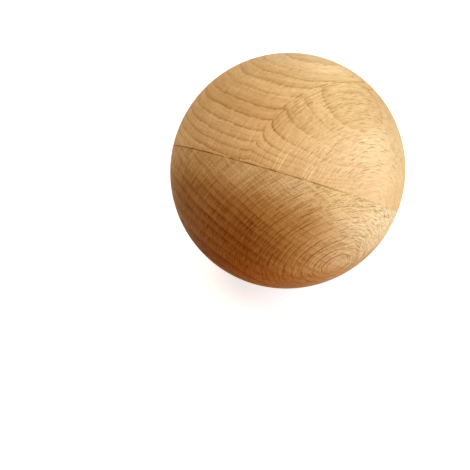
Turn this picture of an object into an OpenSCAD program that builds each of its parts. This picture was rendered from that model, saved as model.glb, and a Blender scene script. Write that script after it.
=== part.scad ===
// A turned ball of beech. The blank is glued up from two blocks, face to face, and the ball is
// turned from it, so each block ends up as a spherical segment with one flat face.
// The origin is the ball's centre, +Z is up, and all sizes are in millimetres.

/* [Ball] */
// Diameter of the finished ball
ball_d = 80; // [50:1:120]

/* [Glue joint] */
// How far the glued faces lie below the ball's centre, measured square to them
joint_drop = 2.2; // [-10:0.1:10]
// Angle that the glued faces make with the horizontal
joint_tilt = 38.3; // [0:0.1:90]
// Direction that the upper block's side of the joint leans towards, turned from +X to +Y
joint_turn = 62.2; // [-180:0.1:180]

/* [Hidden] */

// Facets round the ball where the model is shown as a mesh
$fn = 128;
ball_r = ball_d / 2;
// Side of the cube that keeps one side of the joint: twice the ball, so it always covers it
keep_side = 2 * ball_d;
beech_above = "#DDB67C";
beech_below = "#C9985C";

// The ball's stock on one side of the glue joint: side is 1 above the joint and -1 below it
module turned_block(side) {
    rotate([0, joint_tilt, joint_turn])
        intersection() {
            sphere(r = ball_r);
            translate([0, 0, side * keep_side / 2 - joint_drop])
                cube(keep_side, center = true);
        }
}

// The thicker block, which is the ball's far and upper side
module upper_block() {
    color(beech_above) turned_block(1);
}

// The thinner block, which is the ball's near and lower side
module lower_block() {
    color(beech_below) turned_block(-1);
}

upper_block();
lower_block();
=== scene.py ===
import math
from typing import NamedTuple

import bpy
import numpy as np
from bpy.props import FloatProperty, FloatVectorProperty, IntProperty, PointerProperty
from mathutils import Matrix, Vector


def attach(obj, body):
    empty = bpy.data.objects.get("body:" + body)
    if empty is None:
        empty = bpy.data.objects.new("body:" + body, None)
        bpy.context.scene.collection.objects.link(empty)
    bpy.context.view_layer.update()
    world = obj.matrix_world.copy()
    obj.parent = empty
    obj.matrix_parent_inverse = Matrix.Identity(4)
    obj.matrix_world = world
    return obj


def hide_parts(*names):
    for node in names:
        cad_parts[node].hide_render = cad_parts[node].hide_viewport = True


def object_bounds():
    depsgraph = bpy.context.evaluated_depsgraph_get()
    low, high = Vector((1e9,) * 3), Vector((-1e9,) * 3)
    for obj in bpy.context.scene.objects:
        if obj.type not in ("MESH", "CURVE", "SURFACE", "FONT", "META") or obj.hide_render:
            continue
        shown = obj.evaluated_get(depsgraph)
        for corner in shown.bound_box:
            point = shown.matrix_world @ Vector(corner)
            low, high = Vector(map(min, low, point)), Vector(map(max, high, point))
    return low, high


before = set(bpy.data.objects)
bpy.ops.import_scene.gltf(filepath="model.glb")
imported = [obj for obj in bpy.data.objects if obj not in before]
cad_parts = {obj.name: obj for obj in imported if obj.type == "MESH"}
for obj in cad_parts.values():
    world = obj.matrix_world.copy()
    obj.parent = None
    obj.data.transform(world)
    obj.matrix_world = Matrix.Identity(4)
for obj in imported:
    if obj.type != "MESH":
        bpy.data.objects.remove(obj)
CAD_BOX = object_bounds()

bl_info = {
    "name": "Turned Beech Ball",
    "version": (1, 0, 0),
    "blender": (4, 5, 0),
    "location": "3D View > Sidebar > Beech Ball",
    "description": "A ball turned from a glued-up beech blank, with its grain, glue line and stage",
    "category": "Object",
}

MM = 0.001
FLOOR_LEVEL = CAD_BOX[0][2]
DIAMETER = CAD_BOX[1][2] - CAD_BOX[0][2]
BALL_RADIUS = DIAMETER / 2 / MM     # in millimetres, as all grain is


def linear(colour):
    """The linear red, green and blue of a hex colour, by the sRGB standard's own curve."""
    parts = [int(colour[i:i + 2], 16) / 255 for i in (1, 3, 5)]
    return tuple(c / 12.92 if c <= 0.04045 else ((c + 0.055) / 1.055) ** 2.4 for c in parts)


# ---------------------------------------------------------------------------------------------
# The two planks
#
# Beech is a plain, close wood, and what the eye sees in it is this. Each year leaves a ring, 1.5
# to 4.5 mm wide here, whose last wood is a thin darker line. Broad rays cross the rings: sheets
# 0.1 to 0.2 mm thick and 1 to 4 mm high that run outward from the tree's middle. Cut across, they
# are the small dark dashes that mark beech. Cut along, they are long fine lines, and round the
# place where the ball faces square to them they close up into an eye. Fibres and pores are far
# finer than the eye can part, and leave a faint streak along the grain.
#
# A place in a plank is (across, outward, fibre) in millimetres from the ball's centre: across is
# square to the rays, outward runs along them through the rings, fibre runs up the tree.
# A tone is a depth of colour: 0 is spring wood, and 1 is as dark as the plank's late wood.
# ---------------------------------------------------------------------------------------------

ACROSS, OUTWARD, FIBRE = (1.0, 0.0, 0.0), (0.0, 1.0, 0.0), (0.0, 0.0, 1.0)


class Rings(NamedTuple):
    """A run of year rings, in millimetres.

    A ring's place is (outward + lean * (across - pivot)) / (1 - fan * (across - pivot)). The rings
    are listed in growing order from the first one's start.
    """
    pivot: float
    lean: float
    fan: float
    first: float
    widths: tuple


class Change(NamedTuple):
    """A value that eases from low_tone to high_tone between two places along a direction."""
    way: tuple
    low: float
    low_tone: float
    high: float
    high_tone: float


class Dashes(NamedTuple):
    """Ray ends of one kind, with their sizes across, outward and along the fibre.

    A real one is about half as thick: they are drawn thicker so that they show.
    """
    cell: tuple             # room that each one has
    half: tuple             # half its size
    shift: tuple            # start of the pattern
    tone: float


class Polished(NamedTuple):
    """Rays at the surface that the sanding polished pale."""
    rays: tuple             # (across-place, tone) of each
    top: tuple              # outward-places, less the slant, between which they come in
    foot: tuple             # outward-places between which they come in from the other end


class Fold(NamedTuple):
    """A broad ray that the rings fold at, and what its far side looks like."""
    across: float           # its place
    dip: float              # how far the rings dip where they meet it
    dip_width: float        # width over which they dip
    settle: float           # width over which the far side's rings take over
    rings: Rings            # the far side's rings
    young: tuple            # ring ages between which the far side's rings grow faint
    young_from: tuple       # distances beyond the fold between which they do
    plain: float            # fibre-place of the middle of a plain patch, where rings are faint
    plain_reach: tuple      # distances from it between which the rings come back
    faintest: float         # share of its tone that a faint ring keeps
    rungs_from: tuple       # distances beyond the fold between which ray ends come in
    rungs_outward: tuple    # outward-places between which they do


class Plank(NamedTuple):
    """How one plank's grain lies in the ball, and how strong its figure is."""
    across: tuple           # directions of the grain in the ball
    outward: tuple
    growth: int             # 1 where the rings grow along outward, -1 where they grow against it
    rings: Rings
    fold: Fold              # None where the rings don't fold
    late_tint: tuple        # what is left of spring wood's colour where the tone is 1
    line_tint: tuple        # the same for rays, fibres and fine lines, which are greyer
    late_wood: tuple        # tone through a ring, from its inner edge at 0 to its outer edge at 1
    notch: float            # how far a ring's edge can step aside where a fine ray crosses it
    ring_depth: Change      # strength of the late wood
    ring_fade: tuple        # across-places between which rings grow faint, and their least share
    tones_and_painted_shade: tuple           # slow changes of tone, partly the wood's own and partly painted shade and painted light
    palest: float           # least tone that the slow changes add up to
    painted_warm_light: tuple           # painted warm light: slow changes towards a more red colour where warm light would fall
    dashes: tuple           # the ray ends
    dashes_across: tuple    # across-places between which they come in, and their least share
    dashes_outward: tuple   # outward-places between which they come in
    splay: tuple            # across-places between which the rays splay, and their lean there
    long_rays: tuple        # (across-place, tone) of rays that run on for a long way
    long_outward: tuple     # outward-places between which they come in
    polished: tuple         # the pale rays
    gains: dict             # tone of each fine pattern
    ring_lines: float       # tone of the fine lines that run with the rings
    palest_line: float      # least tone of all that is fine
    gloss: float            # share of a smooth surface's gloss, which cut fibres mostly scatter


UPPER_PLANK = Plank(
    across=(0.535, -0.828, 0.166), outward=(0.112, 0.264, 0.958), growth=-1,
    rings=Rings(
        pivot=0.0, lean=0.075, fan=0.0, first=41.0,
        widths=(1.8, 1.9, 1.7, 1.9, 2.4, 3.4, 2.9, 2.9, 3.0, 2.6, 2.5, 2.3, 2.8, 2.2, 3.1, 2.6, 2.0,
                2.4, 3.2, 2.9, 2.1, 2.6, 3.3, 2.7, 2.2, 2.9)),
    fold=Fold(
        across=20.0, dip=0.9, dip_width=1.8, settle=0.7,
        rings=Rings(
            pivot=22.0, lean=-0.208, fan=0.032, first=38.0,
            widths=(1.5, 1.5, 1.5, 1.8, 2.2, 3.6, 4.1, 2.9, 1.95, 1.65, 1.9, 1.8, 2.3, 2.0, 2.6,
                    2.3, 1.9, 2.3, 3.0, 2.7, 2.1, 2.6, 3.3, 2.7, 2.2, 2.9)),
        young=(4.3, 3.6), young_from=(1.5, 3.0), plain=-10.0, plain_reach=(14.0, 9.0), faintest=0.4,
        rungs_from=(0.8, 2.5), rungs_outward=(22.0, 28.0)),
    late_tint=linear("#DCCBB4"), line_tint=linear("#D6CAB9"),
    late_wood=((0.0, 0.9), (0.03, 0.35), (0.10, 0.0), (0.3, 0.03), (0.55, 0.15), (0.75, 0.3),
               (0.86, 0.45), (0.92, 0.85), (0.97, 1.0), (1.0, 1.0)),
    notch=0.34, ring_depth=Change(OUTWARD, 28.0, 0.85, 38.0, 0.55), ring_fade=(18.0, 34.0, 0.35),
    # Slow changes of tone: the wood's own, and painted shade
    tones_and_painted_shade=(Change(ACROSS, -8.0, 0.05, 30.0, -0.37),
            Change(OUTWARD, 18.0, 0.0, 28.0, 0.45),
            Change(OUTWARD, 31.0, 0.0, 38.0, -0.18),
            # Painted shade: darker towards the ball's edge at the fibre's low end
            Change(FIBRE, 0.0, 0.0, -16.0, 0.5),
            Change((-0.5, -0.6, 0.8), 10.0, 0.0, 18.0, 0.25)),
    palest=-0.5, painted_warm_light=(),
    dashes=(Dashes((0.9, 5.0, 3.6), (0.15, 2.2, 1.3), (3.0, 3.9, 1.2), 1.15),
            Dashes((0.7, 3.5, 2.4), (0.12, 1.3, 0.8), (11.0, 14.3, 4.4), 0.6)),
    dashes_across=(26.0, 35.0, 0.12), dashes_outward=(6.0, 17.0), splay=(31.0, 37.0, 0.0),
    long_rays=((19.7, 1.4), (20.4, 0.8), (21.2, 0.7), (22.2, 0.5), (23.1, 0.8), (26.2, 0.8),
               (30.0, 0.8), (31.0, 0.5), (34.2, 0.7), (35.9, 0.7), (37.3, 0.7)),
    long_outward=(17.0, 27.0),
    polished=(Polished(((26.45, 0.5), (27.0, 0.25), (27.55, 0.75), (32.0, 0.5), (32.5, 0.45),
                        (33.0, 0.55), (33.6, 0.4), (34.2, 0.45)), (32.0, 30.3), (-60.0, -50.0)),
              Polished(((7.0, 0.6), (7.9, 0.9), (8.5, 0.5), (9.6, 0.8), (10.9, 0.5)),
                       (20.6, 18.6), (13.4, 14.4))),
    gains={"fine_rays": 0.7, "fibres": 1.0, "cloud": 0.5}, ring_lines=1.2, palest_line=-0.5,
    gloss=0.13)

LOWER_PLANK = Plank(
    across=(0.305, -0.913, -0.272), outward=(0.692, 0.017, 0.721), growth=1,
    rings=Rings(
        pivot=0.0, lean=-0.20, fan=0.004, first=-44.0,
        widths=(2.6, 3.1, 2.5, 4.4, 4.2, 4.3, 3.3, 3.4, 3.4, 2.4, 2.8, 2.7, 2.0, 1.8, 1.7,
                1.5, 1.8, 1.7, 2.2, 2.6, 2.1, 2.9, 2.4, 2.0, 2.7, 2.3, 3.0, 2.5)),
    fold=None,
    late_tint=linear("#DCC5A4"), line_tint=linear("#CEC0AC"),
    late_wood=((0.0, 0.85), (0.06, 0.5), (0.16, 0.15), (0.3, 0.08), (0.5, 0.2), (0.7, 0.45),
               (0.85, 0.75), (0.95, 1.0), (1.0, 1.0)),
    notch=0.5, ring_depth=Change((-0.6, 1.0, 0.0), -8.0, 0.2, -26.0, 1.2),
    ring_fade=(26.0, 37.0, 0.35),
    # Painted shade and painted light, not the wood's own tone: darker towards the bottom and away
    # from the joint, paler beside it. The second change darkens the far end of the fibre again,
    # where the painted paleness would show.
    tones_and_painted_shade=(Change(FIBRE, 5.0, -0.45, 22.0, 0.35),
            Change(FIBRE, -10.0, 0.0, -26.0, 1.1),
            Change(OUTWARD, 8.0, 0.0, -6.0, 0.25),
            Change(ACROSS, 18.0, 0.0, 6.0, 0.4),
            Change((-0.63, 0.78, 0.09), -14.2, 0.0, -5.2, -0.8),
            Change((0.27, -0.72, -0.64), 8.0, 0.0, 14.0, 0.35),
            Change((-0.5, 0.75, -0.45), -4.0, 0.0, 4.0, -0.2)),
    palest=-0.52,
    # Painted warm light: more red towards the bottom and beside the joint, less towards the fibre's
    # ends
    painted_warm_light=(Change((0.27, -0.72, -0.64), 7.0, 0.0, 17.0, 1.4),
            Change((-0.63, 0.78, 0.09), -14.2, 0.0, -5.2, 0.4),
            Change(FIBRE, 14.0, 0.0, -4.0, -0.4),
            Change(FIBRE, 20.0, 0.0, 28.0, -0.35),
            Change(FIBRE, -5.0, 0.0, -20.0, -1.4)),
    dashes=(Dashes((1.0, 5.5, 3.0), (0.18, 2.1, 1.1), (3.0, 3.9, 1.2), 1.1),
            Dashes((0.8, 4.0, 2.4), (0.16, 1.5, 0.8), (11.0, 14.3, 4.4), 0.7)),
    dashes_across=(22.0, 31.0, 0.4), dashes_outward=(-60.0, -50.0), splay=(31.0, 37.0, 0.05),
    long_rays=((5.2, 0.35), (6.4, 0.3), (7.5, 0.4), (8.4, 0.3), (9.6, 0.45), (10.5, 0.35),
               (11.6, 0.5), (12.5, 0.35), (13.3, 0.5), (14.3, 0.45), (15.1, 0.35), (15.8, 0.5),
               (17.0, 0.5), (18.0, 0.55), (18.7, 0.4), (19.5, 0.6), (20.4, 0.5), (21.2, 0.55),
               (22.0, 0.6), (22.8, 0.5), (23.6, 0.6), (24.6, 0.5), (25.5, 0.5), (27.1, 0.7),
               (28.8, 0.8), (30.9, 1.3), (32.6, 1.8), (33.8, 0.8), (34.4, 1.6), (35.3, 1.0),
               (35.9, 0.8), (36.6, 1.7), (37.6, 0.9), (38.5, 1.8), (39.3, 1.6), (39.75, 1.6)),
    long_outward=(14.0, 5.0), polished=(),
    gains={"fine_rays": 1.7, "fibres": 1.75, "cloud": 0.8}, ring_lines=1.7, palest_line=-0.2,
    gloss=0.05)


class Noise(NamedTuple):
    """A soft pattern, with its size across, outward and along the fibre."""
    size: tuple
    detail: float
    shift: tuple            # start of the pattern


NOISES = {
    # The rings wander from even curves about as often as the tree's own width changes
    "wander": Noise((10.0, 10.0, 35.0), 2.0, (0.0, 0.0, 0.0)),
    # Late wood is stronger here and weaker there, in patches a few rings wide
    "patches": Noise((5.0, 5.0, 12.0), 2.0, (9.0, 6.3, -9.0)),
    # A long ray leaves and meets the surface again every 3 to 12 mm
    "breaks": Noise((1.0, 12.0, 3.0), 1.0, (23.0, 16.1, -23.0)),
    # The fine rays between the broad ones are 0.02 mm thick, and are drawn 0.45 mm so they show
    "fine_rays": Noise((0.45, 10.0, 2.4), 1.0, (5.0, 3.5, -5.0)),
    # Fibres are 0.02 mm thick and 1 mm long, and are drawn as streaks 0.4 mm by 5 mm so they show
    "fibres": Noise((0.4, 0.4, 5.0), 2.0, (17.0, 11.9, -17.0)),
    # The whole plank is a little darker here and there, over a centimetre or more
    "cloud": Noise((14.0, 14.0, 40.0), 2.0, (31.0, 21.7, -31.0)),
}

NOISE_MIDDLE = 0.5              # a soft pattern lies evenly about this
WANDER = 0.7                    # farthest that a ring strays from its even curve, in millimetres
RING_FORCE = (0.7, 1.3)         # faintest and strongest late wood of a year, by chance
RING_PATCH = (0.4, 1.6)         # the same, from patch to patch of one ring
RING_BEAD = (0.0, 2.0)          # the same, from one fine ray to the next along a ring
RING_OWN_TONE = 0.18            # how much paler or darker than its neighbours a whole ring is
RING_LINE_SIZE = (8.0, 0.2, 16.0)   # fine lines: across, as a share of a ring, and along the fibre
RING_LINE_DETAIL = 2.0
RING_LINE_ROUGHNESS = 0.6
DASH_SIZE = (0.6, 1.4)          # smallest and largest ray end of a kind, by chance
DASH_FORCE = (0.3, 1.2)         # faintest and strongest
DASH_EDGE = 0.65                # share of its size at which a ray end begins to fade out
LONG_HALF = 0.3                 # half a long ray's width, a few times the real one so it shows
LONG_SPANS = ((0.0, 23.0), (23.0, 46.0), (46.0, 69.0))  # one curve is too coarse for all the arc
LONG_FULL_TONE = 2.0            # tone at the top of such a curve
LONG_BREAKS = (0.42, 0.54)      # values of "breaks" between which a long ray comes in
LONG_UNEVEN = (0.2, 0.5333)     # the same for its strength
LONG_WHOLE = (15.0, 9.0)        # arcs from the pole between which the breaks close up
PALE_SLANT = 0.5                # lean of the line at which the pale rays end
PALE_FIBRE = (4.0, 14.0)        # fibre-places between which the pale rays come in
# Colour of the painted warm light that the lower block takes towards its bottom
PAINTED_WARM_LIGHT_TINT = linear("#FFEFC3")
GLUE_SHIFT = 0.08 * MM          # the glue soaks a little further into the upper block
GLUE_CORE = 0.5                 # share of the line's half width that is fully dark
GLUE_SPOT = 3.846 * MM          # the line comes and goes every few millimetres
GLUE_SPOT_DETAIL = 2.0
GLUE_UNEVEN = (0.25, 0.75, 1.8)     # noise at which it is gone, a stronger one, and its share there
GLUE_FADE = (21.0 * MM, -5.0 * MM, 0.1)     # x-places between which it comes in, and least share
WOOD_IOR = 1.5
FUZZ = 0.2                      # raised fibres catch the light at the ball's edge
FUZZ_ROUGHNESS = 0.4
RAY_POLISH = 0.1                # rays are dense, and take a slight polish
RELIEF = 0.04 * MM              # fibres stand proud by less than this, and rays lie as deep
RELIEF_STRENGTH = 0.35
SOFT_MEETING = 0.3              # how softly the fine tones meet the least one
MIX_UNDER, MIX_OVER = 6, 7      # numbers of a Mix node's colour sockets
WHITE = (1.0, 1.0, 1.0, 1.0)


def grain_axes(plank):
    """The plank's across, outward and fibre directions, made exactly square to each other."""
    across = Vector(plank.across).normalized()
    fibre = across.cross(Vector(plank.outward)).normalized()
    return Matrix((across, fibre.cross(across), fibre))


# ---------------------------------------------------------------------------------------------
# Sizes and colours that a user would change
# ---------------------------------------------------------------------------------------------

class BallSizes(bpy.types.PropertyGroup):
    """Sizes of the ball and of its mesh."""
    diameter: FloatProperty(
        name="Diameter", description="Diameter of the finished ball",
        default=DIAMETER, min=0.05, max=0.12, unit="LENGTH", subtype="DISTANCE")
    glued_edge: FloatProperty(
        name="Glued Edge", description="Radius that the sanding leaves on each block's glued edge",
        default=0.03 * MM, min=0.01 * MM, max=0.5 * MM, unit="LENGTH", subtype="DISTANCE")
    steps_round: IntProperty(
        name="Steps Round", description="Faces round the ball", default=256, min=48, max=512)
    steps_along: IntProperty(
        name="Steps Along", description="Faces from a block's pole to its glued edge",
        default=112, min=24, max=256)


class BeechFinish(bpy.types.PropertyGroup):
    """Colours and surface of the wood, and the glue between the blocks."""
    upper_colour: FloatVectorProperty(
        name="Upper Colour", description="Spring wood of the upper block", size=3,
        default=linear("#E5D09B"), min=0.0, max=1.0, subtype="COLOR")
    lower_colour: FloatVectorProperty(
        name="Lower Colour", description="Spring wood of the lower block", size=3,
        default=linear("#DDCC98"), min=0.0, max=1.0, subtype="COLOR")
    glue_tone: FloatProperty(
        name="Glue Tone", description="How dark the glue makes the wood, 1 being as late wood is",
        default=1.6, min=0.0, max=4.0, subtype="FACTOR")
    glue_width: FloatProperty(
        name="Glue Line", description="Half width of the line, drawn wider than it is so it shows",
        default=0.27 * MM, min=0.0, max=1.0 * MM, unit="LENGTH", subtype="DISTANCE")
    roughness: FloatProperty(
        name="Roughness", description="Roughness of the sanded surface",
        default=0.7, min=0.0, max=1.0, subtype="FACTOR")


class StageSettings(bpy.types.PropertyGroup):
    """Floor and lamps."""
    floor_side: FloatProperty(
        name="Floor Side", description="Side of the square floor",
        default=6.0, min=1.0, max=20.0, unit="LENGTH", subtype="DISTANCE")
    lamps: FloatProperty(
        name="Lamps", description="Strength of all the lamps together",
        default=1.0, min=0.0, max=2.0, subtype="FACTOR")
    world: FloatProperty(
        name="World", description="Light from all round, 1 being full",
        default=0.0, min=0.0, max=1.0, subtype="FACTOR")


# ---------------------------------------------------------------------------------------------
# Shape
# ---------------------------------------------------------------------------------------------

def glued_face(node):
    """The point nearest the ball's centre on the node's flat face, and that face's outward normal.

    The flat face is the largest one, because the round side is cut into many small ones.
    """
    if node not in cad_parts:
        raise RuntimeError(f"The frame has no block named {node}, so it can't be dressed.")
    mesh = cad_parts[node].data
    face = max(mesh.polygons, key=lambda polygon: polygon.area)
    normal = Vector(face.normal).normalized()
    return normal * normal.dot(face.center), normal


CORNER_STEPS = 6                            # faces round a glued edge
FLAT_RINGS = (0.97, 0.6, 0.25, 0.0)         # rings on the flat face, as shares of its radius


def block_profile(radius, depth, edge, steps):
    """Half section of a spherical segment, from its pole to the middle of its flat face.

    The flat face stands at height depth along the axis, which points out of the segment through
    that face. The points are (distance from the axis, height along it): an arc of the ball from
    the pole at -radius, a small round of radius edge that touches the ball from inside and the
    flat face, and the flat face's own radius.
    """
    round_height = depth - edge
    round_out = math.sqrt((radius - edge) ** 2 - round_height ** 2)
    rim = math.atan2(round_height, round_out)
    turn = np.linspace(-math.pi / 2, rim, steps + 1)
    arc = radius * np.stack([np.cos(turn), np.sin(turn)], axis=1)
    bend = np.linspace(rim, math.pi / 2, CORNER_STEPS + 1)[1:]
    corner = edge * np.stack([np.cos(bend), np.sin(bend)], axis=1) + (round_out, round_height)
    flat = np.stack([round_out * np.array(FLAT_RINGS), np.full(len(FLAT_RINGS), depth)], axis=1)
    return np.concatenate([arc, corner, flat])


def turned_block(name, node, sizes):
    """A block of the ball, as its profile carried round the glue joint's own axis.

    point(s, v) = height(s) * axis + distance(s) * (cos v * side + sin v * side2), s along the
    profile and v round the axis, with one point at each end of the profile.
    """
    foot, axis = glued_face(node)
    side = axis.orthogonal().normalized()
    side2 = axis.cross(side)
    profile = block_profile(sizes.diameter / 2, foot.dot(axis), sizes.glued_edge, sizes.steps_along)
    count = sizes.steps_round
    turn = np.arange(count) * (2 * math.pi / count)
    spoke = np.cos(turn)[:, None] * np.array(side) + np.sin(turn)[:, None] * np.array(side2)
    rings = profile[1:-1]
    grid = rings[:, None, 1:] * np.array(axis) + rings[:, None, :1] * spoke[None]
    poles = profile[[0, -1], 1:] * np.array(axis)
    points = np.concatenate([grid.reshape(-1, 3), poles])

    here = np.arange(count)
    following = (here + 1) % count
    row = np.arange(len(rings) - 1)[:, None] * count
    above = row + count
    quads = np.stack([row + here, row + following, above + following, above + here], axis=-1)
    first = np.full(count, len(points) - 2)
    last = np.full(count, len(points) - 1)
    top_row = (len(rings) - 1) * count
    caps = np.concatenate([np.stack([first, following, here], axis=-1),
                           np.stack([last, top_row + here, top_row + following], axis=-1)])

    mesh = bpy.data.meshes.new(name)
    mesh.from_pydata(points.tolist(), [], quads.reshape(-1, 4).tolist() + caps.tolist())
    mesh.validate()
    smooth_rows = np.ones(len(rings) - 1, dtype=bool)
    smooth_rows[1 - len(FLAT_RINGS):] = False
    smooth = np.repeat(np.append(smooth_rows, (True, False)), count)
    mesh.polygons.foreach_set("use_smooth", smooth)
    mesh.update()
    block = bpy.data.objects.new(name, mesh)
    bpy.context.scene.collection.objects.link(block)
    return block


# ---------------------------------------------------------------------------------------------
# Material
# ---------------------------------------------------------------------------------------------

def add(tree, kind, sockets=(), **settings):
    """Add a shader node with its settings, and fill or link its sockets by name or number.

    A socket that is given a node is linked to that node's first output in use.
    """
    node = tree.nodes.new("ShaderNode" + kind)
    for key, value in settings.items():
        setattr(node, key, value)
    for key, value in dict(sockets).items():
        if isinstance(value, bpy.types.Node):
            value = next(output for output in value.outputs if output.enabled)
        if isinstance(value, bpy.types.NodeSocket):
            tree.links.new(value, node.inputs[key])
        else:
            node.inputs[key].default_value = value
    return node


def set_curve(node, points, handle="AUTO"):
    """Give a Float Curve node the points of its curve, which run from 0 to 1 both ways."""
    curve = node.mapping.curves[0]
    while len(curve.points) < len(points):
        curve.points.new(0.5, 0.5)
    for point, place in zip(curve.points, points):
        point.location = place
        point.handle_type = handle
    node.mapping.update()


class Grain(NamedTuple):
    """The nodes and outputs that say where a point of the ball lies in its plank."""
    place: object           # across, outward and fibre together
    across: object
    outward: object
    fibre: object
    arc: object             # distance on the ball from the point that faces across
    laid: object            # arc, outward and fibre together
    noises: dict            # the soft patterns


def grain_of(tree, where, plank):
    """Where each point of the ball lies in its plank.

    A ray meets the ball in a circle round the point that faces across, so all that runs with the
    rays is drawn by its arc from that point, which keeps it as fine there as anywhere else.
    """
    place = add(tree, "Mapping", {"Vector": where, "Rotation": grain_axes(plank).to_euler(),
                                  "Scale": (1 / MM,) * 3})
    across, outward, fibre = add(tree, "SeparateXYZ", {0: place}).outputs
    start, full, most = plank.splay
    lean = add(tree, "MapRange", {"Value": across, "From Min": start, "From Max": full,
                                  "To Max": most})
    splayed = add(tree, "Math", {0: outward, 1: lean, 2: across}, operation="MULTIPLY_ADD")
    cosine = add(tree, "Math", {0: splayed, 1: 1 / BALL_RADIUS}, operation="MULTIPLY")
    angle = add(tree, "Math", {0: cosine}, operation="ARCCOSINE")
    arc = add(tree, "Math", {0: angle, 1: BALL_RADIUS}, operation="MULTIPLY")
    laid = add(tree, "CombineXYZ", {0: arc, 1: outward, 2: fibre})
    noises = {}
    for title, noise in NOISES.items():
        spread = add(tree, "Mapping", {"Vector": laid, "Scale": [1 / size for size in noise.size],
                                       "Location": noise.shift})
        noises[title] = add(tree, "TexNoise", {"Vector": spread, "Scale": 1.0,
                                               "Detail": noise.detail})
    return Grain(place, across, outward, fibre, arc, laid, noises)


def slow_change(tree, place, change):
    """A value that goes from one to another, by a smooth step, between two places on a line."""
    spot = add(tree, "VectorMath", {0: place, 1: change.way}, operation="DOT_PRODUCT")
    return add(tree, "MapRange", {"Value": spot, "From Min": change.low, "From Max": change.high,
                                  "To Min": change.low_tone, "To Max": change.high_tone},
               interpolation_type="SMOOTHSTEP")


def slow_changes(tree, place, changes, least):
    """The sum of slow changes, held at or above the least one."""
    total = 0.0
    for change in changes:
        total = add(tree, "Math", {0: total, 1: slow_change(tree, place, change)}, operation="ADD")
    return add(tree, "Math", {0: total, 1: least}, operation="MAXIMUM")


def ring_age(tree, plank, rings, across, level):
    """How many rings a place has passed, as a curve through the rings' starts."""
    off = add(tree, "Math", {0: across, 1: rings.pivot}, operation="SUBTRACT")
    top = add(tree, "Math", {0: off, 1: rings.lean, 2: level}, operation="MULTIPLY_ADD")
    under = add(tree, "Math", {0: off, 1: -rings.fan, 2: 1.0}, operation="MULTIPLY_ADD")
    spot = add(tree, "Math", {0: top, 1: under}, operation="DIVIDE")
    starts = rings.first + plank.growth * np.cumsum((0.0,) + rings.widths)
    low = float(starts.min())
    high = float(starts.max())
    count = len(rings.widths)
    knots = [((float(start) - low) / (high - low), i / count) for i, start in enumerate(starts)]
    share = add(tree, "MapRange", {"Value": spot, "From Min": low, "From Max": high}, clamp=True)
    ages = add(tree, "FloatCurve", {"Value": share})
    set_curve(ages, sorted(knots), "VECTOR")
    return add(tree, "Math", {0: ages, 1: count}, operation="MULTIPLY")


def folded_age(tree, plank, across, level):
    """The ring age of a plank whose rings fold at a broad ray.

    The near side's rings dip by dip * exp(distance / dip_width) as they come up to the fold, and
    beyond it they give way to the far side's rings by exp(-distance / settle).
    """
    fold = plank.fold
    past = add(tree, "Math", {0: across, 1: fold.across}, operation="SUBTRACT")
    shares = []
    for side, width in (("MINIMUM", fold.dip_width), ("MAXIMUM", -fold.settle)):
        distance = add(tree, "Math", {0: past, 1: 0.0}, operation=side)
        distance = add(tree, "Math", {0: distance, 1: 1 / width}, operation="MULTIPLY")
        shares.append(add(tree, "Math", {0: distance}, operation="EXPONENT"))
    before, beyond = shares
    dipped = add(tree, "Math", {0: before, 1: -fold.dip, 2: level}, operation="MULTIPLY_ADD")
    near_age = ring_age(tree, plank, plank.rings, across, dipped)
    far_age = ring_age(tree, plank, fold.rings, across, level)
    step = add(tree, "Math", {0: near_age, 1: far_age}, operation="SUBTRACT")
    return add(tree, "Math", {0: step, 1: beyond, 2: far_age}, operation="MULTIPLY_ADD")


def faint_beyond(tree, fold, grain, age):
    """The share of its tone that a ring keeps, less beyond the fold in young and in plain wood."""
    start, full = fold.young
    young = add(tree, "MapRange", {"Value": age, "From Min": start, "From Max": full})
    start, full = fold.young_from
    past = add(tree, "MapRange", {"Value": grain.across, "From Min": fold.across + start,
                                  "From Max": fold.across + full})
    away = add(tree, "Math", {0: grain.fibre, 1: fold.plain}, operation="SUBTRACT")
    away = add(tree, "Math", {0: away}, operation="ABSOLUTE")
    start, full = fold.plain_reach
    plain = add(tree, "MapRange", {"Value": away, "From Min": start, "From Max": full})
    lost = add(tree, "Math", {0: young, 1: plain}, operation="MAXIMUM")
    lost = add(tree, "Math", {0: lost, 1: past}, operation="MULTIPLY")
    return add(tree, "Math", {0: lost, 1: fold.faintest - 1.0, 2: 1.0}, operation="MULTIPLY_ADD")


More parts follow.
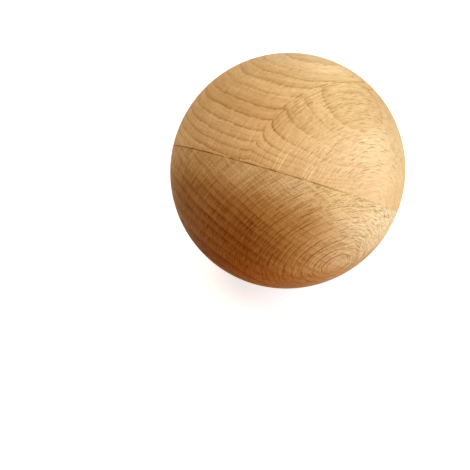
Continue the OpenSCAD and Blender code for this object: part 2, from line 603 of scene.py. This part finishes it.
def year_rings(tree, plank, grain):
    """The tone of the year rings, and of the fine lines that run with them."""
    level = grain.outward
    for title, most in (("wander", WANDER), ("fine_rays", plank.notch)):
        aside = add(tree, "Math", {0: grain.noises[title], 1: 2 * most, 2: -most},
                    operation="MULTIPLY_ADD")
        level = add(tree, "Math", {0: level, 1: aside}, operation="ADD")
    shown = 1.0
    if plank.fold:
        age = folded_age(tree, plank, grain.across, level)
        shown = faint_beyond(tree, plank.fold, grain, age)
    else:
        age = ring_age(tree, plank, plank.rings, grain.across, level)
    start, full, least = plank.ring_fade
    near = add(tree, "MapRange", {"Value": grain.across, "From Min": full, "From Max": start,
                                  "To Min": least, "To Max": 1.0}, interpolation_type="SMOOTHSTEP")
    shown = add(tree, "Math", {0: near, 1: shown}, operation="MULTIPLY")

    # Late wood: every year has its own strength and shade
    year = add(tree, "Math", {0: age}, operation="FLOOR")
    chance = add(tree, "TexWhiteNoise", {"W": year}, noise_dimensions="1D")
    part = add(tree, "Math", {0: age}, operation="FRACT")
    late = add(tree, "FloatCurve", {"Value": part})
    set_curve(late, plank.late_wood)
    for luck, (weak, strong) in ((chance, RING_FORCE), (grain.noises["patches"], RING_PATCH),
                                 (grain.noises["fine_rays"], RING_BEAD)):
        share = add(tree, "Math", {0: luck, 1: strong - weak, 2: weak}, operation="MULTIPLY_ADD")
        late = add(tree, "Math", {0: late, 1: share}, operation="MULTIPLY")
    late = add(tree, "Math", {0: late, 1: shown}, operation="MULTIPLY")
    own = add(tree, "Math", {0: chance, 1: 2 * RING_OWN_TONE, 2: -RING_OWN_TONE},
              operation="MULTIPLY_ADD")
    own = add(tree, "Math", {0: own, 1: near}, operation="MULTIPLY")
    tone = add(tree, "Math", {0: late, 1: own}, operation="ADD")
    stronger = slow_change(tree, grain.place, plank.ring_depth)
    tone = add(tree, "Math", {0: tone, 1: stronger}, operation="MULTIPLY")

    # Fine lines
    beside = add(tree, "CombineXYZ", {0: grain.across, 1: age, 2: grain.fibre})
    spread = add(tree, "Mapping", {"Vector": beside,
                                   "Scale": [1 / size for size in RING_LINE_SIZE]})
    lines = add(tree, "TexNoise", {"Vector": spread, "Scale": 1.0, "Detail": RING_LINE_DETAIL,
                                   "Roughness": RING_LINE_ROUGHNESS})
    lines = add(tree, "Math", {0: lines, 1: plank.ring_lines, 2: -NOISE_MIDDLE * plank.ring_lines},
                operation="MULTIPLY_ADD")
    lines = add(tree, "Math", {0: lines, 1: shown}, operation="MULTIPLY")
    return tone, lines


def ray_ends(tree, laid, dashes):
    """The tone of spindles that lie along the rays, one in each cell.

    A place is in a spindle where its distance from the cell's point, in half sizes of the spindle,
    is less than the spindle's own chance size.
    """
    spread = add(tree, "Mapping", {"Vector": laid, "Scale": [1 / room for room in dashes.cell],
                                   "Location": dashes.shift})
    spots = add(tree, "TexVoronoi", {"Vector": spread, "Scale": 1.0, "Randomness": 1.0},
                feature="F1", distance="EUCLIDEAN")
    away = add(tree, "VectorMath", {0: spread, 1: spots.outputs["Position"]}, operation="SUBTRACT")
    slim = [room / half for room, half in zip(dashes.cell, dashes.half)]
    shaped = add(tree, "VectorMath", {0: away, 1: slim}, operation="MULTIPLY")
    reach = add(tree, "VectorMath", {0: shaped}, operation="LENGTH")
    size, force, _ = add(tree, "SeparateColor", {0: spots.outputs["Color"]}).outputs
    small, large = DASH_SIZE
    size = add(tree, "Math", {0: size, 1: large - small, 2: small}, operation="MULTIPLY_ADD")
    share = add(tree, "Math", {0: reach, 1: size}, operation="DIVIDE")
    mark = add(tree, "MapRange", {"Value": share, "From Min": 1.0, "From Max": DASH_EDGE},
               interpolation_type="SMOOTHSTEP")
    weak, strong = DASH_FORCE
    force = add(tree, "Math", {0: force, 1: strong - weak, 2: weak}, operation="MULTIPLY_ADD")
    mark = add(tree, "Math", {0: mark, 1: force}, operation="MULTIPLY")
    return add(tree, "Math", {0: mark, 1: dashes.tone}, operation="MULTIPLY")


def long_rays(tree, rays, arc):
    """The rays that run on for a long way, as peaks of a curve over the arc."""
    lines = 0.0
    for low, high in LONG_SPANS:
        knots = [(0.0, 0.0), (1.0, 0.0)]
        for across, tone in rays:
            spot = BALL_RADIUS * math.acos(across / BALL_RADIUS)
            if low + LONG_HALF < spot < high - LONG_HALF:
                peak = ((-LONG_HALF, 0.0), (0.0, tone / LONG_FULL_TONE), (LONG_HALF, 0.0))
                knots += [((spot + step - low) / (high - low), level) for step, level in peak]
        share = add(tree, "MapRange", {"Value": arc, "From Min": low, "From Max": high}, clamp=True)
        curve = add(tree, "FloatCurve", {"Value": share})
        set_curve(curve, sorted(knots), "VECTOR")
        lines = add(tree, "Math", {0: curve, 1: LONG_FULL_TONE, 2: lines}, operation="MULTIPLY_ADD")
    return lines


def unbroken(tree, grain):
    """The share of a long ray's tone that shows, as it leaves and meets the surface."""
    breaks = grain.noises["breaks"]
    low, high = LONG_BREAKS
    shown = add(tree, "MapRange", {"Value": breaks, "From Min": low, "From Max": high},
                interpolation_type="SMOOTHSTEP")
    low, high = LONG_WHOLE
    pole = add(tree, "MapRange", {"Value": grain.arc, "From Min": low, "From Max": high})
    shown = add(tree, "Math", {0: shown, 1: pole}, operation="MAXIMUM")
    low, high = LONG_UNEVEN
    force = add(tree, "MapRange", {"Value": breaks, "From Min": low, "From Max": high})
    return add(tree, "Math", {0: shown, 1: force}, operation="MULTIPLY")


def ray_marks(tree, plank, grain):
    """The tone of the ray ends and of the long rays."""
    marks = 0.0
    for dashes in plank.dashes:
        marks = add(tree, "Math", {0: marks, 1: ray_ends(tree, grain.laid, dashes)},
                    operation="MAXIMUM")
    start, full, least = plank.dashes_across
    shown = add(tree, "MapRange", {"Value": grain.across, "From Min": start, "From Max": full,
                                   "To Min": least, "To Max": 1.0}, interpolation_type="SMOOTHSTEP")
    if plank.fold:
        low, high = plank.fold.rungs_from
        past = add(tree, "MapRange", {"Value": grain.across, "From Min": plank.fold.across + low,
                                      "From Max": plank.fold.across + high})
        low, high = plank.fold.rungs_outward
        rungs = add(tree, "MapRange", {"Value": grain.outward, "From Min": low, "From Max": high})
        rungs = add(tree, "Math", {0: past, 1: rungs}, operation="MULTIPLY")
        shown = add(tree, "Math", {0: shown, 1: rungs}, operation="MAXIMUM")
    lines = long_rays(tree, plank.long_rays, grain.arc)
    tones = []
    for mark, share, (start, full) in ((marks, shown, plank.dashes_outward),
                                       (lines, unbroken(tree, grain), plank.long_outward)):
        inside = add(tree, "MapRange", {"Value": grain.outward, "From Min": start,
                                        "From Max": full}, interpolation_type="SMOOTHSTEP")
        share = add(tree, "Math", {0: share, 1: inside}, operation="MULTIPLY")
        tones.append(add(tree, "Math", {0: mark, 1: share}, operation="MULTIPLY"))
    return add(tree, "Math", {0: tones[0], 1: tones[1]}, operation="MAXIMUM")


def polished_rays(tree, plank, grain):
    """The tone that the polished rays take away, which is there between their two ends only."""
    slanted = add(tree, "Math", {0: grain.across, 1: PALE_SLANT, 2: grain.outward},
                  operation="MULTIPLY_ADD")
    start, full = PALE_FIBRE
    forward = add(tree, "MapRange", {"Value": grain.fibre, "From Min": start, "From Max": full})
    pale = 0.0
    for group in plank.polished:
        shown = forward
        for spot, (start, full) in ((slanted, group.top), (grain.outward, group.foot)):
            inside = add(tree, "MapRange", {"Value": spot, "From Min": start, "From Max": full},
                         interpolation_type="SMOOTHSTEP")
            shown = add(tree, "Math", {0: shown, 1: inside}, operation="MULTIPLY")
        pale = add(tree, "Math", {0: long_rays(tree, group.rays, grain.arc), 1: shown, 2: pale},
                   operation="MULTIPLY_ADD")
    return pale


def glue_line(tree, where, finish):
    """The tone of the glue, by distance from the joint's plane. It comes and goes along the line."""
    foot, axis = glued_face("upper_block")
    height = add(tree, "VectorMath", {0: where, 1: axis}, operation="DOT_PRODUCT")
    off = add(tree, "Math", {0: height, 1: foot.dot(axis) + GLUE_SHIFT}, operation="SUBTRACT")
    off = add(tree, "Math", {0: off}, operation="ABSOLUTE")
    line = add(tree, "MapRange", {"Value": off, "From Min": finish.glue_width,
                                  "From Max": GLUE_CORE * finish.glue_width},
               interpolation_type="SMOOTHSTEP")
    spots = add(tree, "TexNoise", {"Vector": where, "Scale": 1 / GLUE_SPOT,
                                   "Detail": GLUE_SPOT_DETAIL})
    none, some, some_share = GLUE_UNEVEN
    force = add(tree, "MapRange", {"Value": spots, "From Min": none, "From Max": some,
                                   "To Max": some_share}, clamp=False)
    closed, full, least = GLUE_FADE
    side = add(tree, "SeparateXYZ", {0: where}).outputs[0]
    fade = add(tree, "MapRange", {"Value": side, "From Min": closed, "From Max": full,
                                  "To Min": least * finish.glue_tone, "To Max": finish.glue_tone},
               interpolation_type="SMOOTHSTEP")
    force = add(tree, "Math", {0: force, 1: fade}, operation="MULTIPLY")
    return add(tree, "Math", {0: line, 1: force}, operation="MULTIPLY")


def beech(name, plank, colour, finish):
    """Beech, sanded and left bare.

    Bare sanded beech is matt: cut fibres scatter nearly all the light, so there is almost no gloss,
    and the raised ones give a faint bloom at the ball's edge. Its colour at a place is the spring
    wood's, times late_tint to the power of the broad tone, times line_tint to the power of the fine
    tone, so that dark wood is also more red, as it is in the plank. The broad tone holds painted
    shade and painted light as well as the wood's own tone, and the lower block also takes a painted
    warm light that makes it more red towards its bottom.
    """
    material = bpy.data.materials.new(name)
    material.use_nodes = True
    tree = material.node_tree
    tree.nodes.clear()
    where = add(tree, "TexCoord").outputs["Object"]
    grain = grain_of(tree, where, plank)

    # Broad tone: rings, slow changes of tone with painted shade and painted light among them, and
    # glue
    rings, ring_lines = year_rings(tree, plank, grain)
    tones_and_painted_shade = slow_changes(tree, grain.place, plank.tones_and_painted_shade, plank.palest)
    broad = add(tree, "Math", {0: rings, 1: tones_and_painted_shade}, operation="ADD")
    broad = add(tree, "Math", {0: broad, 1: glue_line(tree, where, finish)}, operation="ADD")

    # Fine tone: soft patterns about their middle, lines along the rings, and rays
    fine = -NOISE_MIDDLE * sum(plank.gains.values())
    for title, gain in plank.gains.items():
        fine = add(tree, "Math", {0: grain.noises[title], 1: gain, 2: fine},
                   operation="MULTIPLY_ADD")
    fine = add(tree, "Math", {0: fine, 1: ring_lines}, operation="ADD")
    fine = add(tree, "Math", {0: fine, 1: plank.palest_line, 2: SOFT_MEETING},
               operation="SMOOTH_MAX")
    marks = ray_marks(tree, plank, grain)
    fine = add(tree, "Math", {0: fine, 1: marks}, operation="ADD")
    if plank.polished:
        pale = polished_rays(tree, plank, grain)
        fine = add(tree, "Math", {0: fine, 1: pale}, operation="SUBTRACT")

    # Colour
    wood = (*colour, 1.0)
    for tint, tone in ((plank.late_tint, broad), (plank.line_tint, fine)):
        darker = add(tree, "Gamma", {"Color": (*tint, 1.0), "Gamma": tone})
        wood = add(tree, "Mix", {"Factor": 1.0, MIX_UNDER: wood, MIX_OVER: darker},
                   data_type="RGBA", blend_type="MULTIPLY")
    # Painted warm light: the colour turns more red where warm light would fall on the block
    if plank.painted_warm_light:
        painted_warm_light = slow_changes(tree, grain.place, plank.painted_warm_light, 0.0)
        wood = add(tree, "Mix", {"Factor": painted_warm_light, MIX_UNDER: wood, MIX_OVER: (*PAINTED_WARM_LIGHT_TINT, 1.0)},
                   data_type="RGBA", blend_type="MULTIPLY")

    # Surface: fibres stand up a little, rays lie in a little and are smoother
    relief = add(tree, "Math", {0: grain.noises["fibres"], 1: marks}, operation="SUBTRACT")
    bump = add(tree, "Bump", {"Strength": RELIEF_STRENGTH, "Distance": RELIEF, "Height": relief})
    rough = add(tree, "Math", {0: marks, 1: -RAY_POLISH, 2: finish.roughness},
                operation="MULTIPLY_ADD")
    shader = add(tree, "BsdfPrincipled", {
        "Base Color": wood, "Roughness": rough, "IOR": WOOD_IOR, "Specular IOR Level": plank.gloss,
        "Sheen Weight": FUZZ, "Sheen Roughness": FUZZ_ROUGHNESS, "Normal": bump})
    add(tree, "OutputMaterial", {"Surface": shader})
    return material


def dress(block, node, material):
    """Let a block stand for its CAD node, move with the ball, and carry its slot's finish."""
    block.data.materials.append(material)
    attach(block, "root")
    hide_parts(node)


# ---------------------------------------------------------------------------------------------
# Stage
# ---------------------------------------------------------------------------------------------

class Lamp(NamedTuple):
    """A square lamp aimed at the ball."""
    azimuth: float          # degrees
    elevation: float        # degrees
    share: float            # 1 lights a surface that faces the lamp to its own colour
    side: float             # metres
    distance: float         # metres
    colour: str


LAMPS = {
    "key_lamp": Lamp(-15, 20, 0.83, 0.7, 1.0, "#FFFFFF"),
    "cool_edge": Lamp(-10, 24, 0.21, 0.1, 0.25, "#7CCBFF"),
    "back_lamp": Lamp(150, 62, 0.9, 0.7, 1.0, "#FFE2CD"),
    "warm_fill": Lamp(-62, 6, 0.56, 0.7, 1.0, "#FFA627"),
}

FLOOR_PAINT = linear("#E7E7E7")
FLOOR_BOUNCE = linear("#955927")        # what the floor gives the ball, warm as its other light is
FLOOR_LIFT = (0.72, 1.0)                # share of white that the floor shows of itself
FLOOR_LIFT_FROM = (0.25, 0.9)           # metres from the ball between which it grows

CAMERA_PLACE = (-0.01759, -0.15373, 0.10101)
CAMERA_TILT = math.radians(50.0)        # up from straight down
CAMERA_LENS = 40.0                      # millimetres, on a film 36 mm wide
CAMERA_FILM = 36.0
CAMERA_NEAREST = 0.01


def aim(item, target):
    """Turn a lamp or camera to look at a point."""
    item.rotation_euler = (Vector(target) - item.location).to_track_quat("-Z", "Y").to_euler()


def soft_lamp(name, lamp, strength):
    """Put up a lamp.

    Its power in watts is strength * share * (pi * distance) ^ 2, at which a share of 1 lights a
    surface that faces it to the surface's own colour.
    """
    data = bpy.data.lights.new(name, "AREA")
    data.shape = "SQUARE"
    data.size = lamp.side
    data.energy = strength * lamp.share * (math.pi * lamp.distance) ** 2
    data.color = linear(lamp.colour)
    azimuth = math.radians(lamp.azimuth)
    elevation = math.radians(lamp.elevation)
    way = Vector((math.cos(azimuth) * math.cos(elevation), math.sin(azimuth) * math.cos(elevation),
                  math.sin(elevation)))
    item = bpy.data.objects.new(name, data)
    item.location = lamp.distance * way
    aim(item, (0.0, 0.0, 0.0))
    item.visible_camera = False
    bpy.context.scene.collection.objects.link(item)


def background_rays(tree):
    """1 for rays that show the background: from the camera, and off gloss or through glass."""
    rays = add(tree, "LightPath").outputs
    shown = rays["Is Camera Ray"]
    for kind in ("Is Glossy Ray", "Is Transmission Ray"):
        shown = add(tree, "Math", {0: shown, 1: rays[kind]}, operation="MAXIMUM")
    return shown


def floor_material():
    """White painted board. It is matt, so the ball's shadow lies on it softly, unmirrored."""
    material = bpy.data.materials.new("white_painted_board")
    material.use_nodes = True
    tree = material.node_tree
    tree.nodes.clear()
    paint = add(tree, "BsdfDiffuse", {"Color": (*FLOOR_PAINT, 1.0)})
    away = add(tree, "VectorMath", {0: add(tree, "TexCoord").outputs["Object"]}, operation="LENGTH")
    glow = add(tree, "MapRange", {"Value": away,
                                  "From Min": FLOOR_LIFT_FROM[0], "From Max": FLOOR_LIFT_FROM[1],
                                  "To Min": FLOOR_LIFT[0], "To Max": FLOOR_LIFT[1]},
               interpolation_type="SMOOTHSTEP")
    lift = add(tree, "Emission", {"Color": WHITE, "Strength": glow})
    white = add(tree, "AddShader", {0: paint, 1: lift})
    bounce = add(tree, "BsdfDiffuse", {"Color": (*FLOOR_BOUNCE, 1.0)})
    both = add(tree, "MixShader", {0: background_rays(tree), 1: bounce, 2: white})
    add(tree, "OutputMaterial", {"Surface": both})
    return material


def floor_board(side):
    """A square board under the ball: x and y run from -side / 2 to side / 2, at the ball's foot."""
    half = side / 2
    square = ((-half, -half), (half, -half), (half, half), (-half, half))
    corners = [(x, y, FLOOR_LEVEL) for x, y in square]
    mesh = bpy.data.meshes.new("floor")
    mesh.from_pydata(corners, [], [(0, 1, 2, 3)])
    mesh.materials.append(floor_material())
    floor = bpy.data.objects.new("floor", mesh)
    bpy.context.scene.collection.objects.link(floor)
    return floor


def stage_world(strength):
    """White where it is seen, and soft light from all round."""
    world = bpy.data.worlds.new("pale_world")
    world.use_nodes = True
    tree = world.node_tree
    tree.nodes.clear()
    force = add(tree, "MapRange", {"Value": background_rays(tree), "To Min": strength,
                                   "To Max": 1.0})
    back = add(tree, "Background", {"Color": WHITE, "Strength": force})
    add(tree, "OutputWorld", {"Surface": back})
    bpy.context.scene.world = world


def stage_camera():
    """The camera, a little above the ball and looking down at it."""
    data = bpy.data.cameras.new("camera")
    data.lens = CAMERA_LENS
    data.sensor_width = CAMERA_FILM
    data.clip_start = CAMERA_NEAREST
    camera = bpy.data.objects.new("camera", data)
    camera.location = CAMERA_PLACE
    camera.rotation_euler = (CAMERA_TILT, 0.0, 0.0)
    bpy.context.scene.collection.objects.link(camera)
    bpy.context.scene.camera = camera


# ---------------------------------------------------------------------------------------------
# Operators and panel
# ---------------------------------------------------------------------------------------------

class BALL_OT_upper_block(bpy.types.Operator):
    """Turn the upper block of the ball from its plank."""
    bl_idname = "beech_ball.upper_block"
    bl_label = "Upper Block"

    def execute(self, context):
        finish = context.scene.beech_finish
        block = turned_block("upper_block_beech", "upper_block", context.scene.ball_sizes)
        material = beech("sanded_beech_upper_block", UPPER_PLANK, finish.upper_colour, finish)
        dress(block, "upper_block", material)
        return {"FINISHED"}


class BALL_OT_lower_block(bpy.types.Operator):
    """Turn the lower block of the ball from its plank."""
    bl_idname = "beech_ball.lower_block"
    bl_label = "Lower Block"

    def execute(self, context):
        finish = context.scene.beech_finish
        block = turned_block("lower_block_beech", "lower_block", context.scene.ball_sizes)
        material = beech("sanded_beech_lower_block", LOWER_PLANK, finish.lower_colour, finish)
        dress(block, "lower_block", material)
        return {"FINISHED"}


class BALL_OT_stage(bpy.types.Operator):
    """Set the floor, the lamps, the world and the camera."""
    bl_idname = "beech_ball.stage"
    bl_label = "Stage"

    def execute(self, context):
        settings = context.scene.ball_stage
        if not settings.lamps and not settings.world:
            raise RuntimeError("With the lamps and the world both at 0, nothing lights the ball.")
        floor_board(settings.floor_side)
        for name, lamp in LAMPS.items():
            soft_lamp(name, lamp, settings.lamps)
        stage_world(settings.world)
        stage_camera()
        context.scene.view_settings.view_transform = "Standard"
        return {"FINISHED"}


class BALL_PT_panel(bpy.types.Panel):
    """Lists the settings and the steps that make the ball and its stage."""
    bl_idname = "BALL_PT_panel"
    bl_label = "Beech Ball"
    bl_space_type = "VIEW_3D"
    bl_region_type = "UI"
    bl_category = "Beech Ball"

    def draw(self, context):
        scene = context.scene
        for group in (scene.ball_sizes, scene.beech_finish, scene.ball_stage):
            for name in group.__annotations__:
                self.layout.prop(group, name)
        for operator in (BALL_OT_upper_block, BALL_OT_lower_block, BALL_OT_stage):
            self.layout.operator(operator.bl_idname)


CLASSES = (BallSizes, BeechFinish, StageSettings, BALL_OT_upper_block, BALL_OT_lower_block,
           BALL_OT_stage, BALL_PT_panel)


def register():
    """Register the classes and put their settings on the scene."""
    for cls in CLASSES:
        bpy.utils.register_class(cls)
    bpy.types.Scene.ball_sizes = PointerProperty(type=BallSizes)
    bpy.types.Scene.beech_finish = PointerProperty(type=BeechFinish)
    bpy.types.Scene.ball_stage = PointerProperty(type=StageSettings)


def unregister():
    """Take the settings off the scene and unregister the classes."""
    del bpy.types.Scene.ball_stage
    del bpy.types.Scene.beech_finish
    del bpy.types.Scene.ball_sizes
    for cls in reversed(CLASSES):
        bpy.utils.unregister_class(cls)


def main():
    """Make the ball and its stage."""
    register()
    bpy.ops.beech_ball.upper_block()
    bpy.ops.beech_ball.lower_block()
    bpy.ops.beech_ball.stage()


if __name__ == "__main__":
    main()
